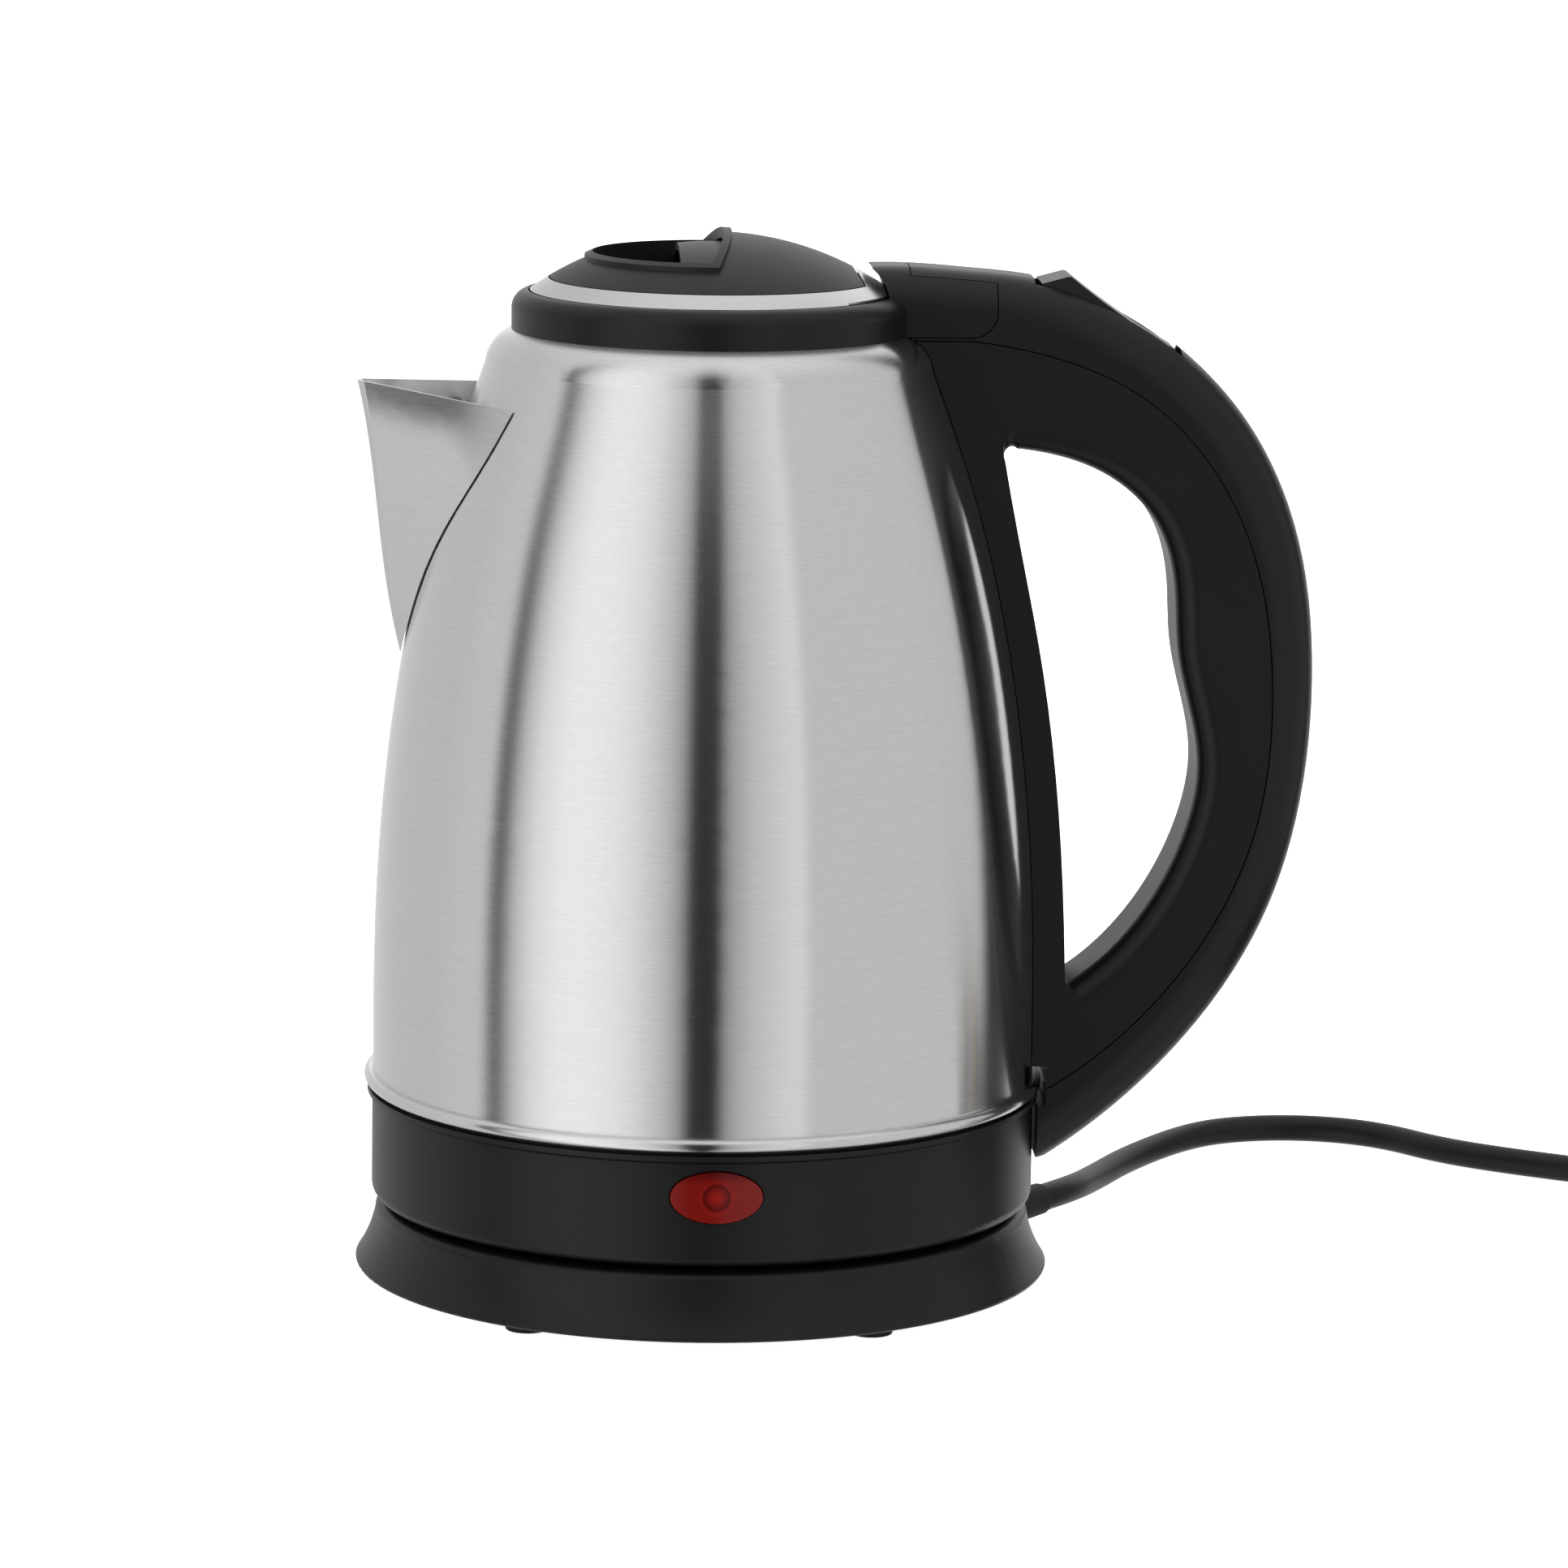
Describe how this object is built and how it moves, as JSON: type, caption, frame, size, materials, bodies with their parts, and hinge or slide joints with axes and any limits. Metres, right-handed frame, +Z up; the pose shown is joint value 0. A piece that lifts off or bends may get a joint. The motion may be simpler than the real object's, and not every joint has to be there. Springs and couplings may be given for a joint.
{
  "type": "electric kettle",
  "caption": "cordless electric kettle with a tapering brushed steel body, hinged lid, looped handle and rocker switch, standing on a round power base with a mains lead",
  "frame": {"origin": "centre of the base's resting plane, on the table under the body's axis", "axes": "+Z up, +X towards the handle, -X towards the spout, -Y towards the side with the lamp"},
  "size_m": [0.4189, 0.2224, 0.2456],
  "materials": {
    "steel_brushed": "circumferential brushing, satin",
    "steel_plain": "plain sheet and screws",
    "trim_bright": "bright band",
    "plastic_black": "fine satin",
    "plastic_lid": "fine satin",
    "plastic_gloss": "polished",
    "plastic_inner": "as moulded",
    "lens_red": "clear red",
    "lamp_glass": "clear",
    "aluminium": "mill finish",
    "brass": "plain",
    "rubber_black": "matt",
    "silicone_grey": "soft",
    "cord_black": "smooth sheath"
  },
  "bodies": {
    "base": {"base_cover": "plastic_black", "base_plate": "plastic_inner", "base_feet": "rubber_black", "base_screws": "steel_plain", "base_socket": "plastic_black", "base_contacts": "brass", "cord_gland": "rubber_black", "cord_lead": "cord_black", "cord_coil": "cord_black", "cord_tie": "plastic_inner", "plug_body": "plastic_black", "plug_pins": "brass", "plug_fuse_cover": "plastic_gloss"},
    "contact_pin": {"contact_pin": "brass"},
    "kettle": {"body_shell": "steel_brushed", "spout": "steel_brushed", "floor_pan": "steel_brushed", "heat_plate": "aluminium", "heating_element": "steel_plain", "element_terminals": "brass", "control_unit": "plastic_inner", "thermal_discs": "brass", "kettle_connector": "plastic_inner", "kettle_contact_ring": "brass", "floor_studs": "steel_plain", "bottom_cover": "plastic_black", "bottom_screws": "steel_plain", "bottom_shell": "plastic_black", "indicator_lens": "lens_red", "neon_lamp": "lamp_glass", "top_collar": "plastic_black", "hinge_pin": "steel_plain", "handle_inner": "plastic_black", "handle_outer": "plastic_black", "handle_studs": "steel_plain", "handle_nuts": "steel_plain", "steam_control": "plastic_inner", "steam_disc": "brass", "switch_pin": "steel_plain"},
    "lid": {"lid_top": "plastic_lid", "lid_trim": "trim_bright", "lid_body": "plastic_inner", "lid_pan": "steel_plain", "lid_seal": "silicone_grey", "latch_spring": "steel_plain"},
    "latch": {"lid_latch": "plastic_lid"},
    "switch": {"switch_rocker": "plastic_gloss"}
  },
  "joints": [
    {"name": "kettle_lift", "type": "slide", "parent": "base", "child": "contact_pin", "axis": [0, 0, 1], "range_m": [0, 0.12]},
    {"name": "kettle_swivel", "type": "hinge", "parent": "contact_pin", "child": "kettle", "pos_m": [0, 0, 0.028], "axis": [0, 0, 1], "continuous": true},
    {"name": "lid_hinge", "type": "hinge", "parent": "kettle", "child": "lid", "pos_m": [0.031, 0, 0.23], "axis": [0, 1, 0], "range_deg": [0, 50]},
    {"name": "latch_slide", "type": "slide", "parent": "lid", "child": "latch", "axis": [1, 0, 0], "range_m": [0, 0.004], "stiffness_N_per_m": 300, "deforming": ["latch_spring"]},
    {"name": "switch_rock", "type": "hinge", "parent": "kettle", "child": "switch", "pos_m": [0.0903, 0, 0.2236], "axis": [0, -1, 0], "range_deg": [0, 9]}
  ]
}
